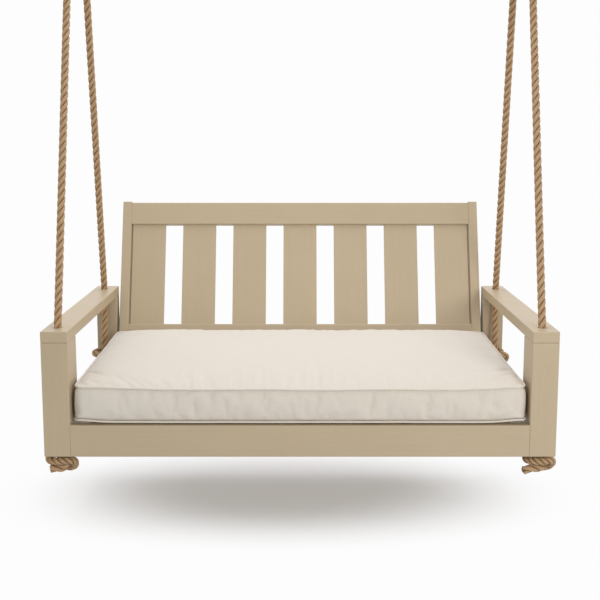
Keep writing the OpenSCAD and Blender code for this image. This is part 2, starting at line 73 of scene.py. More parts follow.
def linear(hex_colour):
    """A linear colour with alpha 1 from an sRGB hex value."""
    parts = [int(hex_colour[i:i + 2], 16) / 255 for i in (1, 3, 5)]
    return [c / 12.92 if c <= 0.04045 else ((c + 0.055) / 1.055) ** 2.4 for c in parts] + [1.0]


def colour_property(name, description, hex_colour):
    return bpy.props.FloatVectorProperty(
        name=name, description=description, subtype="COLOR", size=4, min=0.0, max=1.0,
        default=linear(hex_colour))


def number_property(name, description, value, low=0.0, high=1000.0, **more):
    return bpy.props.FloatProperty(
        name=name, description=description, default=value, min=low, max=high, **more)


def length_property(name, description, metres, low=0.0005, high=5.0):
    return number_property(name, description, metres, low, high,
                           unit="LENGTH", subtype="DISTANCE", precision=4)


class SwingBedRopes(bpy.types.PropertyGroup):
    """Sizes and colours of the three-strand ropes."""

    diameter: length_property("Diameter", "Nominal diameter of the rope", 0.025)
    crest: length_property("Over the crests", "Circle round the crests of the strands", 0.0270)
    lay: length_property("Lay", "Length in which a strand goes once round the rope", 0.087)
    knot_lay: number_property("Lay in a knot", "Share of its lay that it keeps in a knot",
                              0.62, 0.5, 1.0)
    yarn: length_property("Yarn", "Width of a yarn in a strand", 0.0021)
    # Light fibres; also the painted highlight on the crowns of the yarns
    light: colour_property("Light fibre", "Colour of the fibres that stand out", "#DFC09A")
    middle: colour_property("Fibre", "Colour of the strands", "#AF8A60")
    # The darkest fibres; also the painted shade deep between the strands
    groove: colour_property("Groove", "Colour deep between the strands", "#593A19")


class SwingBedCushion(bpy.types.PropertyGroup):
    """Sizes and colours of the seat cushion."""

    piping: length_property("Piping", "Diameter of the piping", 0.0066)
    swell: length_property("Swell", "How far the filling may push the cover out", 0.022)
    thread: length_property("Thread", "Distance between the canvas's threads", 0.0011)
    canvas: colour_property("Canvas", "Colour of the cover", "#D9D1C4")
    slub: colour_property("Slub", "Colour of the thicker, darker threads", "#D2CABD")


class SwingBedTimber(bpy.types.PropertyGroup):
    """Colour and surface of the painted timber."""

    paint: colour_property("Paint", "Colour of the satin paint", "#BCAA8C")
    rubbed: colour_property("Rubbed paint", "Colour where the paint is thin", "#B8A688")
    grain: length_property("Grain", "Distance between the grain lines under the paint", 0.006)
    screw: length_property("Screw", "Diameter of a deck screw's head", 0.008)
    lap: length_property("Lap", "How far the end slats reach out behind their groove", 0.0055)


class SwingBedSteel(bpy.types.PropertyGroup):
    """Colour of the steel fittings."""

    zinc: colour_property("Zinc", "Colour of the zinc plating", "#A4A6A8")
    dull: colour_property("Dull zinc", "Colour of its dull patches", "#86898C")


class SwingBedStage(bpy.types.PropertyGroup):
    """Camera, floor and lights."""

    camera_back: length_property("Camera distance", "From the hanging bolts forward to it",
                                 4.085, high=20.0)
    camera_drop: length_property("Camera drop", "From the ceiling down to the camera", 0.729)
    floor_drop: length_property("Floor drop", "From the ceiling down to the floor", 2.160)
    lens: number_property("Lens", "Focal length in millimetres", 66.1, 10.0, 300.0,
                          unit="CAMERA")
    tilt: number_property("Tilt", "The camera's angle from straight down",
                          math.radians(81.02), high=math.pi, unit="ROTATION", subtype="ANGLE")
    floor: colour_property("Floor", "Colour of the floor", "#FCFCFC")
    glow: number_property("Floor glow", "White that the camera sees added to the floor",
                          0.10, high=1.0)
    key: number_property("Key light", "Power of the lamp in front", 57.0, unit="POWER")
    top: number_property("Top light", "Power of the lamp overhead", 66.0, unit="POWER")
    fill: number_property("Fill light", "Strength of the white room", 0.69)


# ------------------------------------------------------------------ materials


def add(tree, kind, inputs=None, **settings):
    """Adds a node with its settings, and with inputs that are values or other sockets."""
    made = tree.nodes.new("ShaderNode" + kind)
    for name, value in settings.items():
        setattr(made, name, value)
    for socket, value in (inputs or {}).items():
        if isinstance(value, bpy.types.NodeSocket):
            tree.links.new(value, made.inputs[socket])
        else:
            made.inputs[socket].default_value = value
    return made


def new_material(name):
    """An empty material, and the tree that its nodes go into."""
    material = bpy.data.materials.new(name)
    material.use_nodes = True
    tree = material.node_tree
    tree.nodes.clear()
    return material, tree


def finish_material(tree, shader):
    add(tree, "OutputMaterial", {"Surface": shader.outputs[0]})


def ramp(tree, factor, stops):
    """A colour ramp over factor, from pairs of place and colour."""
    made = add(tree, "ValToRGB", {"Fac": factor})
    elements = made.color_ramp.elements
    while len(elements) < len(stops):
        elements.new(0.5)
    for element, (place, colour) in zip(elements, stops):
        element.position = place
        element.color = colour
    return made.outputs["Color"]


def calc(tree, operation, *values):
    """A Math node's result."""
    return add(tree, "Math", dict(enumerate(values)), operation=operation).outputs[0]


def between(tree, value, low, high, top=1.0, kind="SMOOTHSTEP"):
    """Goes from 0 to top while value goes from low to high."""
    return add(tree, "MapRange", {"Value": value, "From Min": low, "From Max": high,
                                  "To Max": top}, interpolation_type=kind).outputs[0]


def blend(tree, share, first, second):
    """The first colour, turning into the second as share goes from 0 to 1."""
    return add(tree, "MixRGB", {"Fac": share, "Color1": first, "Color2": second}).outputs[0]


def mapped(tree, vector, **how):
    """A vector, turned or scaled."""
    return add(tree, "Mapping", {"Vector": vector, **how}).outputs[0]


def speckle(tree, vector, scale, detail, **more):
    """A noise texture's value."""
    return add(tree, "TexNoise", {"Vector": vector, "Scale": scale, "Detail": detail,
                                  **more}).outputs["Fac"]


def relief(tree, height, strength, depth):
    """The normals of a surface with small bumps."""
    return add(tree, "Bump", {"Height": height, "Strength": strength,
                              "Distance": depth}).outputs[0]


def grey(value):
    return [value, value, value, 1.0]


# Satin acrylic enamel, sprayed on planed pine: an even colour with a soft sheen, under
# which the wood's grain lines show as the faintest streaks along each board.
def painted_pine(name, grain_angles):
    """Paint over boards whose grain runs along Z once turned by grain_angles."""
    look = bpy.context.scene.swing_bed_timber
    material, tree = new_material(name)
    place = add(tree, "TexCoord").outputs["Object"]
    # Grain lines: long along the board, a few millimetres apart across it
    turned = mapped(tree, place, Rotation=grain_angles)
    across = 1 / look.grain
    drawn_out = mapped(tree, turned, Scale=(across, across, across / 40))
    grain = speckle(tree, drawn_out, 1.0, 3.0, Roughness=0.5, Distortion=0.2)
    # Soft clouds two hands wide, where the coats came out thicker or thinner
    clouds = speckle(tree, place, 1 / 0.2, 2.0)
    # Orange peel of sprayed enamel, drawn about 3 mm wide so that it shows
    peel = speckle(tree, place, 1 / 0.003, 1.0)
    thin = blend(tree, 0.6, clouds, grain)
    height = calc(tree, "MULTIPLY_ADD", grain, 0.6, peel)
    finish_material(tree, add(tree, "BsdfPrincipled", {
        "Base Color": ramp(tree, thin, [(0.34, look.rubbed), (0.62, look.paint)]),
        "Roughness": ramp(tree, clouds, [(0.3, grey(0.36)), (0.7, grey(0.44))]),
        "IOR": 1.5, "Normal": relief(tree, height, 0.05, 0.0005)}))
    return material


# Manila, twisted in three strands: matt, straw-gold, with lighter fibres, a painted
# highlight on the crowns of the yarns and painted brown shade deep in the grooves.
def manila_rope():
    look = bpy.context.scene.swing_bed_ropes
    material, tree = new_material("twisted_manila")
    strand = add(tree, "SeparateXYZ", {0: add(tree, "UVMap", uv_map="strand").outputs[0]})
    yarn_map = add(tree, "UVMap", uv_map="yarn").outputs[0]
    yarn = add(tree, "SeparateXYZ", {0: yarn_map})
    # Yarns lie almost along the rope, so they repeat round it
    girth = math.pi * look.diameter
    waver = calc(tree, "MULTIPLY", speckle(tree, yarn_map, 9.0, 1.0), 0.9)
    count = calc(tree, "MULTIPLY_ADD", yarn.outputs["X"],
                 round(girth / look.yarn) * math.tau, waver)
    crown = between(tree, calc(tree, "SINE", count), -1.0, 1.0, kind="LINEAR")
    # Single fibres, half a millimetre wide and eleven long
    fine = mapped(tree, yarn_map, Scale=(girth / 0.0005, 1 / 0.011, 1.0))
    fibres = speckle(tree, fine, 1.0, 3.0, Roughness=0.6)
    body = ramp(tree, fibres, [
        (0.30, look.groove), (0.46, look.middle), (0.66, look.light)])
    body = blend(tree, 0.60, body, look.middle)
    # Lengths of rope that are a little paler
    tone = ramp(tree, speckle(tree, yarn_map, 5.0, 2.0), [
        (0.35, look.middle), (0.7, look.light)])
    body = blend(tree, 0.25, body, tone)
    # Painted light: a highlight on the yarn crowns mid-strand, shade towards the grooves
    away = calc(tree, "ABSOLUTE", calc(tree, "SUBTRACT", strand.outputs["X"], 0.5))
    lit = calc(tree, "MULTIPLY", crown, between(tree, away, 0.36, 0.05, 0.5))
    body = blend(tree, lit, body, look.light)
    # Painted shade: the sides of each strand turn to the groove colour
    shade = calc(tree, "MULTIPLY", between(tree, away, 0.24, 0.5), 0.92)
    height = calc(tree, "MULTIPLY_ADD", fibres, 0.7, crown)
    finish_material(tree, add(tree, "BsdfPrincipled", {
        "Base Color": blend(tree, shade, body, look.groove), "Roughness": 0.82,
        "Specular IOR Level": 0.25, "Sheen Weight": 0.12, "Sheen Roughness": 0.5,
        "Normal": relief(tree, height, 0.75, 0.0009)}))
    return material


# Woven cotton canvas: matt, with a soft sheen at grazing angles, a plain weave and
# thicker slub threads both ways.
def woven_canvas():
    look = bpy.context.scene.swing_bed_cushion
    material, tree = new_material("woven_canvas")
    place = add(tree, "TexCoord").outputs["Object"]
    waves = []
    for direction in ((1, 0, 0), (0, 1, 0.9)):
        along = add(tree, "VectorMath", {0: place, 1: direction}, operation="DOT_PRODUCT")
        count = calc(tree, "MULTIPLY", along.outputs["Value"], math.pi / look.thread)
        waves.append(calc(tree, "SINE", count))
    weave = calc(tree, "MULTIPLY", *waves)
    # Slubs: threads that are thicker for a few centimetres, in both directions
    long, thick = 1 / 0.05, 1 / 0.0024
    slubs = [speckle(tree, mapped(tree, place, Scale=scale), 1.0, 2.0)
             for scale in ((long, thick, thick), (thick, long, long))]
    slub = between(tree, calc(tree, "MAXIMUM", *slubs), 0.5, 0.9, kind="LINEAR")
    height = calc(tree, "MULTIPLY_ADD", slub, 0.8, weave)
    finish_material(tree, add(tree, "BsdfPrincipled", {
        "Base Color": blend(tree, slub, look.canvas, look.slub), "Roughness": 0.88,
        "Specular IOR Level": 0.2, "Sheen Weight": 0.15, "Sheen Roughness": 0.45,
        "Normal": relief(tree, height, 0.22, 0.0004)}))
    return material


# Zinc plating on pressed and turned steel: a soft grey gleam with dull, cloudy patches.
def zinc_plate():
    look = bpy.context.scene.swing_bed_steel
    material, tree = new_material("zinc_plated_steel")
    place = add(tree, "TexCoord").outputs["Object"]
    patches = speckle(tree, place, 1 / 0.012, 4.0, Roughness=0.6)
    scratches = speckle(tree, place, 1 / 0.0012, 2.0)
    finish_material(tree, add(tree, "BsdfPrincipled", {
        "Base Color": ramp(tree, patches, [(0.35, look.dull), (0.65, look.zinc)]),
        "Metallic": 1.0,
        "Roughness": ramp(tree, patches, [(0.3, grey(0.52)), (0.7, grey(0.4))]),
        "Normal": relief(tree, scratches, 0.15, 0.0003)}))
    return material


# ------------------------------------------------------------------ meshes


def build_mesh(name, points, faces, material, uvs=None, smooth=True):
    """A new mesh object. uvs gives each layer's name one pair for every point."""
    mesh = bpy.data.meshes.new(name)
    mesh.from_pydata(np.asarray(points, float).tolist(), [],
                     [list(map(int, face)) for face in faces])
    corners = np.empty(len(mesh.loops), int)
    mesh.loops.foreach_get("vertex_index", corners)
    for layer, pairs in (uvs or {}).items():
        made = mesh.uv_layers.new(name=layer)
        made.data.foreach_set("uv", np.asarray(pairs, float)[corners].ravel())
    mesh.polygons.foreach_set("use_smooth", [smooth] * len(mesh.polygons))
    mesh.materials.append(material)
    mesh.validate()
    mesh.update()
    piece = bpy.data.objects.new(name, mesh)
    bpy.context.scene.collection.objects.link(piece)
    return piece


def read_vectors(mesh, what="co"):
    """The places of a mesh's points, or their normals."""
    flat = np.empty(len(mesh.vertices) * 3)
    mesh.vertices.foreach_get(what, flat)
    return flat.reshape(-1, 3)


def move_points(mesh, places):
    mesh.vertices.foreach_set("co", places.ravel())
    mesh.update()


def lattice_faces(rows, columns, start=0, wrap=False, closed=False):
    """Quads between rows of points. wrap closes each row, and closed the rows themselves."""
    i, k = np.meshgrid(np.arange(rows if closed else rows - 1),
                       np.arange(columns if wrap else columns - 1), indexing="ij")
    below, beside = (i + 1) % rows, (k + 1) % columns
    quads = np.stack([i * columns + k, i * columns + beside, below * columns + beside,
                      below * columns + k], axis=-1)
    return (start + quads.reshape(-1, 4)).tolist()


def smooth_line(points, steps):
    """A line that passes smoothly through points, with steps from each to the next."""
    p = np.asarray(points, float)
    last = len(p) - 1
    line = []
    for i in range(last):
        a, b, c, d = p[max(i - 1, 0)], p[i], p[i + 1], p[min(i + 2, last)]
        for k in range(steps):
            t = k / steps
            line.append(0.5 * (2 * b + (c - a) * t + (2 * a - 5 * b + 4 * c - d) * t * t
                               + (3 * b - a - 3 * c + d) * t ** 3))
    return np.array(line + [p[last]])


def run_along(line):
    """How far along a line each of its points is."""
    return np.r_[0, np.cumsum(np.linalg.norm(np.diff(line, axis=0), axis=1))]


def evenly(line, step):
    """The same line with its points that far apart."""
    run = run_along(line)
    marks = np.linspace(0, run[-1], max(2, round(run[-1] / step) + 1))
    return np.stack([np.interp(marks, run, line[:, k]) for k in range(3)], axis=1)


def unit(vectors):
    return vectors / np.linalg.norm(vectors, axis=-1, keepdims=True)


def carried_normals(line, normal):
    """Directions along a line, and normals carried along it without twist."""
    way = unit(np.gradient(line, axis=0))
    normals = np.empty_like(line)
    n = np.asarray(normal, float)
    for i, t in enumerate(way):
        n = n - np.dot(n, t) * t
        n = n / np.linalg.norm(n)
        normals[i] = n
    return way, normals


def around(line, normals, sides, angles, reach):
    """Rows of points round a line: at angles from its normals to its sides, that far out."""
    return line[:, None, :] + reach[..., None] * (
        np.cos(angles)[..., None] * normals[:, None, :]
        + np.sin(angles)[..., None] * sides[:, None, :])


# ------------------------------------------------------------------ ropes


ROW_STEP = 0.0034
STRAND_POINTS = 11
# A cut tail untwists over its last stretch, and its strands part over the very end
UNTWIST, PARTING = 0.09, 0.02
# Half the width of a loose fibre
FIBRE_HALF = 0.00022
# Where a splice's tucks begin and end, from the end of its eye, and their mesh
TUCKS_FROM, TUCKS_TO = -0.092, 0.012
TUCK_STEP, TUCK_SIDES = 0.003, 10
# A rope is this much thicker in a knot
KNOT_SWELL = 1.03


def strand_arc():
    """Polar angles and radii, in rope diameters, over the outer arc of one strand."""
    share = np.sin(np.linspace(-1, 1, STRAND_POINTS) * math.pi / 2)
    return share * math.pi / 3, 0.5 - 0.07 * share ** 2 - 0.20 * share ** 6


class Laid:
    """A stretch of three-strand rope, with where its strands stand at its far end."""

    def __init__(self, line, diameter, lay, phase, normal, cut=False):
        self.points, self.faces, self.yarn, self.strand, self.count = [], [], [], [], 0
        self.line = line = evenly(line, ROW_STEP)
        self.way, self.normals = carried_normals(line, normal)
        self.sides = np.cross(self.way, self.normals)
        self.run = run_along(line)
        self.length = self.run[-1]
        left = self.length - self.run
        slack = np.clip(1 - left / UNTWIST, 0, 1) if cut else np.zeros(len(line))
        rate = math.tau / (lay * (1 + 1.6 * slack))
        self.turn = phase + np.r_[0, np.cumsum((rate[1:] + rate[:-1]) / 2
                                               * np.diff(self.run))]
        part = 0.03 * diameter * np.clip(1 - left / PARTING, 0, 1) ** 2 * (slack > 0)
        angle, radius = strand_arc()
        reach = diameter * radius[None, :] * np.ones((len(line), 1))
        across = np.linspace(0, 1, STRAND_POINTS)[None, :] * np.ones((len(line), 1))
        along = self.run[:, None] * np.ones((1, STRAND_POINTS))
        for k in range(3):
            centre = self.turn[:, None] + math.tau * k / 3
            turn = centre + angle[None, :]
            at = around(line, self.normals, self.sides, turn, reach)
            at += (part[:, None] * (np.cos(centre) * self.normals
                                    + np.sin(centre) * self.sides))[:, None, :]
            self.put(at, np.stack([turn / math.tau, along], -1),
                     np.stack([across, along], -1), lattice_faces(len(line), STRAND_POINTS))
            if cut:
                self.close_strand(at[-1], diameter)

    def put(self, points, yarn, strand, faces):
        """Adds points with their places in both maps, and faces counted from the first."""
        self.points.append(np.reshape(points, (-1, 3)))
        self.yarn.append(np.reshape(yarn, (-1, 2)))
        self.strand.append(np.reshape(strand, (-1, 2)))
        self.faces += [[self.count + i for i in face] for face in faces]
        self.count += len(self.points[-1])

    def close_strand(self, rim, diameter):
        """Closes the cut end of the strand made last with a low dome of fibre ends."""
        end, way = self.line[-1], self.way[-1]
        middle = 0.6 * rim.mean(axis=0) + 0.4 * end + 0.08 * diameter * way
        ring = [*range(-STRAND_POINTS, 0), 1]
        # At 0.82 across the strand map, the dome takes a little of the painted groove shade
        self.put([middle, end + 0.02 * diameter * way], np.zeros((2, 2)),
                 np.full((2, 2), 0.82), [[a, b, 0] for a, b in zip(ring, ring[1:] + ring[:1])])

    def add_fibres(self, number, diameter, seed, ends_only=False):
        """Adds loose fibres: thin, slightly bent blades that stand off the strands."""
        dice = random.Random(seed)
        last = len(self.line) - 1
        for _ in range(number):
            row = last if ends_only else dice.randrange(1, last)
            angle = dice.uniform(0, math.tau)
            if ends_only:
                radius = diameter * dice.uniform(0.05, 0.45)
                length, lift = dice.uniform(0.003, 0.007), dice.uniform(-0.3, 0.5)
                run = self.way[row]
            else:
                radius = diameter * 0.47
                length, lift = dice.uniform(0.004, 0.009), dice.uniform(0.10, 0.35)
                run = self.way[row] * dice.choice((-1, 1))
            bend = dice.uniform(-0.3, 0.3)
            out = math.cos(angle) * self.normals[row] + math.sin(angle) * self.sides[row]
            side = np.cross(self.way[row], out)
            blade = []
            for share in (0.0, 0.5, 1.0):
                mid = (self.line[row] + radius * out
                       + share * length * (run + lift * share * out)
                       + bend * length * share ** 2 * side)
                half = FIBRE_HALF * (1 - 0.6 * share) * side
                blade += [mid - half, mid + half]
            self.put(blade, np.full((6, 2), dice.random()), np.full((6, 2), 0.5),
                     [[0, 1, 3, 2], [2, 3, 5, 4]])

    def add_tucks(self, first, last, tail, diameter, lay):
        """Adds the three strands of an eye splice, tucked against the lay over a stretch."""
        rows = [i for i, s in enumerate(self.run) if first <= s <= last]
        for k in range(3):
            centres = []
            for i in rows:
                done = self.run[i] - first
                share = done / (last - first)
                turn = -math.tau * done / (0.8 * lay)
                weave = math.cos(1.5 * (self.turn[i] - turn))
                reach = diameter * ((0.36 - 0.12 * share) + 0.11 * weave)
                at = turn + math.tau * k / 3
                off = reach * (math.cos(at) * self.normals[i] + math.sin(at) * self.sides[i])
                # At first it still comes over from the rope's tail
                joined = min(1.0, share / 0.16)
                centres.append((self.line[i] + off) * joined
                               + (tail + 0.1 * off) * (1 - joined))
            centres = evenly(np.array(centres), TUCK_STEP)
            way, normals = carried_normals(centres, self.normals[rows[0]])
            thick = 0.5 * diameter * (0.38 - 0.26 * np.linspace(0, 1, len(centres)) ** 1.5)
            turn = np.linspace(0, math.tau, TUCK_SIDES + 1)
            along = run_along(centres)[:, None] * np.ones((1, TUCK_SIDES + 1))
            self.put(around(centres, normals, np.cross(way, normals), turn[None, :],
                            thick[:, None]),
                     np.stack([(turn[None, :] / math.tau + along / 0.04) * 0.5, along], -1),
                     np.stack([np.full_like(along, 0.5), along], -1),
                     lattice_faces(len(centres), TUCK_SIDES + 1))

    def build(self, name, material):
        piece = build_mesh(name, np.concatenate(self.points), self.faces, material, {
            "yarn": np.concatenate(self.yarn), "strand": np.concatenate(self.strand)})
        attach(piece, "swing")
        return piece


# Places of the rope holes, knots and eyes in the bed's own frame, in metres
ROPE_X = 0.810
ARM_TOP = 0.4245
CAP_UNDERSIDE = 0.3865
FRONT_HOLE_Y = 0.075
REAR_HOLE_Y = 0.965
RAIL_HOLE_Y = 0.938
UPPER_KNOT_Z = 0.1843
EYE_X = {"front": 0.823, "rear": 0.779}
EYE_R, EYE_Z = 0.0398, -0.0157
THROAT_Y, THROAT_Z, SPLICE_Z = 0.011, -0.115, -0.205
BEND_R = 0.060
SEAT_GAP = 0.0003

# The overhand knot's two routes for a rope that comes down the Z axis, in millimetres
STOPPER_ROUTE = [
    (0, 0, 0), (-3, 2, -14), (-6, 7, -29), (-4, 12, -45), (7, 15, -57), (23, 12, -60),
    (38, 4, -54), (45, -8, -42), (44, -22, -30), (35, -34, -24), (19, -41, -23),
    (-5, -43, -24), (-27, -35, -25), (-40, -17, -25), (-39, 5, -21), (-27, 24, -17),
    (-7, 32, -15), (11, 29, -15), (21, 15, -18), (21, 0, -28), (17, -14, -42),
    (6, -24, -52), (-13, -30, -52), (-33, -33, -53), (-56, -38, -58)]
RUNNING_ROUTE = [
    (0, 0, 0), (-3, 2, -16), (-6, 7, -32), (-2, 14, -47), (11, 18, -57), (27, 13, -59),
    (39, 4, -52), (47, -8, -40), (46, -20, -30), (36, -32, -25), (20, -38, -24),
    (-4, -41, -24), (-26, -34, -24), (-38, -16, -23), (-37, 6, -22), (-26, 23, -20),
    (-6, 30, -17), (12, 27, -17), (22, 14, -20), (22, -2, -29), (17, -12, -43),
    (9, -13, -57), (2, -6, -71), (0, 0, -86), (0, 0, -100)]
RUNNING_TURN = math.radians(-15)


def knot_line(route, foot, turn=0.0, tail=None):
    """A knot's route under the point foot, with its tail if it runs on."""
    p = smooth_line(np.array(route) / 1000, 8)
    c, s = math.cos(turn), math.sin(turn)
    p = p @ np.array([[c, s, 0], [-s, c, 0], [0, 0, 1]])
    if tail is not None:
        p = np.vstack([p, [0, 0, tail]])
    return in_row(p + np.array(foot))


def eye_line(reach_y, place, tail_side):
    """From the tail of a rope's eye, round its thimble, to the end of its splice."""
    lean = math.atan2(HANG_Y - reach_y, HANG_H - ARM_TOP)
    throat = math.hypot(THROAT_Y, THROAT_Z - EYE_Z)
    leg = math.acos(EYE_R / throat) - math.atan2(EYE_Z - THROAT_Z, THROAT_Y)
    arc = [(EYE_R * math.cos(a), EYE_Z + EYE_R * math.sin(a))
           for a in np.linspace(leg, math.pi - leg, 25)]
    loop = [(THROAT_Y * 1.1, THROAT_Z + 0.008)] + arc + [
        (-THROAT_Y, THROAT_Z), (-THROAT_Y * 0.45, THROAT_Z - 0.03),
        (-THROAT_Y * 0.1, THROAT_Z - 0.06), (0.0, SPLICE_Z)]
    y, z = np.array(loop).T
    y = y * tail_side
    return np.stack([np.full(len(y), place), HANG_Y + y * math.cos(lean) + z * math.sin(lean),
                     HANG_H - y * math.sin(lean) + z * math.cos(lean)], 1)


def hang_rope(side, place):
    """One rope from its eye to where it leaves the bed, and its knots."""
    look = bpy.context.scene.swing_bed_ropes
    material = bpy.data.materials.get("twisted_manila") or manila_rope()
    hand = "left" if side < 0 else "right"
    front = place == "front"
    reach_y = FRONT_HOLE_Y if front else REAR_HOLE_Y
    eye = eye_line(reach_y, EYE_X[place], 1 if front else -1)
    lip = np.array([ROPE_X, reach_y, ARM_TOP])
    up = unit(eye[-1] - lip)
    lean = math.acos(up[2])
    out = unit(np.array([up[0], up[1], 0]))
    start = BEND_R * math.tan(lean / 2)
    bend = [lip + [0, 0, BEND_R * math.sin(a) - start] + BEND_R * (1 - math.cos(a)) * out
            for a in np.linspace(lean, 0, 7)]
    if front:
        inside = [[ROPE_X, reach_y, -SEAT_GAP]]
    else:
        # Behind the arm's window it leans forward a little, to its hole in the rail
        inside = [[ROPE_X, RAIL_HOLE_Y + (REAR_HOLE_Y - RAIL_HOLE_Y) * (1 - math.cos(a)) / 2,
                   UPPER_KNOT_Z + (CAP_UNDERSIDE - UPPER_KNOT_Z) * a / math.pi]
                  for a in np.linspace(math.pi, 0, 13)]
    line = np.vstack([eye, bend, inside])
    line[:, 0] *= side
    line = in_row(line)
    stands_for = [f"rope_{place}_{hand}"]
    foot = (side * ROPE_X, reach_y if front else RAIL_HOLE_Y, -SEAT_GAP)
    if not front:
        # It runs on through its upper knot and the side rail
        upper = knot_line(RUNNING_ROUTE, (side * ROPE_X, RAIL_HOLE_Y, UPPER_KNOT_Z),
                          RUNNING_TURN, -UPPER_KNOT_Z - SEAT_GAP)
        line = np.vstack([line, upper[1:]])
        stands_for.append(f"upper_knot_rear_{hand}")
    rope = Laid(line, look.crest, look.lay, phase=0.4, normal=(1, 0, 0))
    eye_end = run_along(eye)[-1]
    rope.add_tucks(eye_end + TUCKS_FROM, eye_end + TUCKS_TO, rope.line[0], look.diameter,
                   look.lay)
    rope.add_fibres(500, look.diameter, seed=11 + side + len(place))
    piece = rope.build(f"laid_rope_{place}_{hand}", material)
    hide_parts(*stands_for)

    # The left front knot's tail is cut shorter
    route = STOPPER_ROUTE[:-1] if front and side < 0 else STOPPER_ROUTE
    end = Laid(knot_line(route, foot), look.crest * KNOT_SWELL, look.lay * look.knot_lay,
               rope.turn[-1], rope.normals[-1], cut=True)
    end.add_fibres(90, look.diameter, seed=51 + side)
    end.add_fibres(16, look.diameter, seed=71 + side, ends_only=True)
    stopper = end.build(f"overhand_knot_{place}_{hand}", material)
    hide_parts(f"knot_front_{hand}" if front else f"lower_knot_rear_{hand}")


class SWINGBED_OT_front_ropes(bpy.types.Operator):
    """Makes the two front ropes with their spliced eyes and the knots under the posts"""

    bl_idname = "swingbed.front_ropes"
    bl_label = "Front ropes"

    def execute(self, context):
        for side in (-1, 1):
            hang_rope(side, "front")
        return {"FINISHED"}


class SWINGBED_OT_rear_ropes(bpy.types.Operator):
    """Makes the two rear ropes with their eyes and the knots over and under the rails"""

    bl_idname = "swingbed.rear_ropes"
    bl_label = "Rear ropes"

    def execute(self, context):
        for side in (-1, 1):
            hang_rope(side, "rear")
        return {"FINISHED"}


# ------------------------------------------------------------------ cushion


DECK_Z = 0.1083
CUSHION_W, CUSHION_D = 1.494, 0.894
HALF_W, HALF_D = CUSHION_W / 2, CUSHION_D / 2
CUSHION_Y = 0.461
# Heights over the deck of the two seams, and of the top one's rises
FRONT_SEAM, BACK_RISE, CORNER_RISE = 0.118, 0.032, 0.010
BOTTOM_SEAM, BOTTOM_LIFT = 0.0122, 0.008
UNDERSIDE = 0.0008
# How far from the seams the underside and the lift of its corners reach
UNDER_REACH, LIFT_REACH = 0.05, 0.07
# The top's swell before it is filled, and how far from the seam it grows
CROWN, CROWN_REACH = 0.012, 0.25
# How far the band stands out before it is filled: at half its height, more just over
# the bottom seam, and less just under the top one
BULGE, LOW_BULGE, TOP_PINCH = 0.0050, 0.0036, 0.0046
# Cells of the cover: across, front to back, and from seam to seam
COLUMNS, ROWS, BANDS = 170, 102, 14
FILL_FRAMES = 20
# How far past its seams the filled cushion may bulge towards the posts
SIDE_BULGE = 0.013
FOLD_SPACING = 0.033
PIPE_SIDES = 10


def seam_height(x, y):
    """Height of the top seam over the deck, from a place on the cushion's plan."""
    u = np.abs(x) / HALF_W
    v = y / CUSHION_D + 0.5
    return FRONT_SEAM + BACK_RISE * v + CORNER_RISE * (1 - 1.7 * v) * u ** 4


def ripple(points, width, seed):
    """Smooth noise from -1 to 1 at points, with waves about that wide."""
    return np.array([noise.noise(Vector((p[0] / width + seed, p[1] / width - seed,
                                         p[2] / width + 2 * seed))) for p in points])


def plan_outline(inset, corner):
    """The cushion's plan outline, as points that match the edge of the top's lattice."""
    half_w, half_d = HALF_W - inset, HALF_D - inset
    outline = []
    for (ax, ay), (bx, by), count in (
            ((-1, -1), (1, -1), COLUMNS), ((1, -1), (1, 1), ROWS),
            ((1, 1), (-1, 1), COLUMNS), ((-1, 1), (-1, -1), ROWS)):
        for k in range(count):
            t = k / count
            x, y = (ax + (bx - ax) * t) * half_w, (ay + (by - ay) * t) * half_d
            # Rounds the corner: a point within reach of it moves on to the arc
            cx, cy = abs(x) - (half_w - corner), abs(y) - (half_d - corner)
            if cx > 0 and cy > 0:
                far = corner / max(math.hypot(cx, cy), 1e-9)
                x = math.copysign(half_w - corner + cx * far, x)
                y = math.copysign(half_d - corner + cy * far, y)
            outline.append((x, y))
    return np.array(outline)


def edge_indices():
    """Numbers of the lattice's edge points, in the order of plan_outline."""
    wide = COLUMNS + 1
    return [*range(COLUMNS),
            *(k * wide + COLUMNS for k in range(ROWS)),
            *(ROWS * wide + COLUMNS - k for k in range(COLUMNS)),
            *((ROWS - k) * wide for k in range(ROWS))]


def panel(outline):
    """Plan points of a panel's lattice, spread evenly between its edges."""
    wide, deep = COLUMNS + 1, ROWS + 1
    grid = np.zeros((deep, wide, 2))
    grid.reshape(-1, 2)[edge_indices()] = outline
    u = np.linspace(0, 1, wide)[None, :, None]
    v = np.linspace(0, 1, deep)[:, None, None]
    low, high = grid[0][None], grid[-1][None]
    left, right = grid[:, :1], grid[:, -1:]
    corners = ((1 - u) * (1 - v) * grid[0, 0] + u * (1 - v) * grid[0, -1]
               + (1 - u) * v * grid[-1, 0] + u * v * grid[-1, -1])
    return ((1 - v) * low + v * high + (1 - u) * left + u * right - corners).reshape(-1, 2)


def outward(outline):
    """Unit vectors that point out of a closed plan outline, at each of its points."""
    along = np.roll(outline, -1, axis=0) - np.roll(outline, 1, axis=0)
    return unit(np.column_stack([along[:, 1], -along[:, 0]]))


